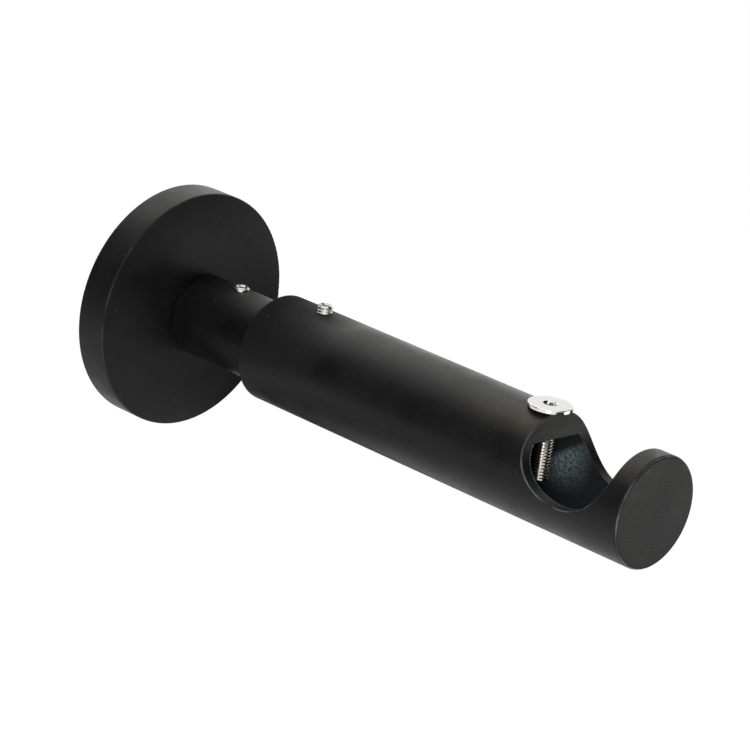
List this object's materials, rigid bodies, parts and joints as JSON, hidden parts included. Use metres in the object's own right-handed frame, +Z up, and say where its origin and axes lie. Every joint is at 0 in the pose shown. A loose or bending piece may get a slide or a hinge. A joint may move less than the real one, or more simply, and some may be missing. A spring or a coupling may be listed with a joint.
{
  "type": "curtain pole bracket",
  "caption": "Black wall bracket for a curtain pole: round rose, telescoping tubular arm with a closed end, open-topped cross-wise cup and a flat-headed clamp screw.",
  "frame": {"origin": "middle of the wall plate's back face, on the wall", "axes": "+X out of the wall along the arm, +Z up, Y along the pole"},
  "size_m": [0.1659, 0.063, 0.063],
  "materials": {
    "plated_steel": "zinc plated",
    "turned_steel": "turned, satin",
    "plate_screw_steel": "bright plated",
    "black_rose": "black satin powder coat",
    "black_stem": "black satin powder coat",
    "bright_grub": "bright nickel",
    "black_arm": "black satin powder coat",
    "bright_clamp_screw": "polished nickel"
  },
  "bodies": {
    "wall_side": {"wall_plate": "plated_steel", "spigot": "turned_steel", "spigot_screw": "plate_screw_steel", "rose": "black_rose", "stem": "black_stem", "stem_grub_screw": "bright_grub"},
    "arm": {"arm": "black_arm", "arm_grub_screw": "bright_grub"},
    "clamp_screw": {"clamp_screw": "bright_clamp_screw"}
  },
  "joints": [
    {"name": "arm_slide", "type": "slide", "parent": "wall_side", "child": "arm", "axis": [1, 0, 0], "range_m": [-0.012, 0.035]},
    {"name": "clamp_screw_travel", "type": "slide", "parent": "arm", "child": "clamp_screw", "axis": [0, 0, 1], "range_m": [0, 0.01]}
  ]
}
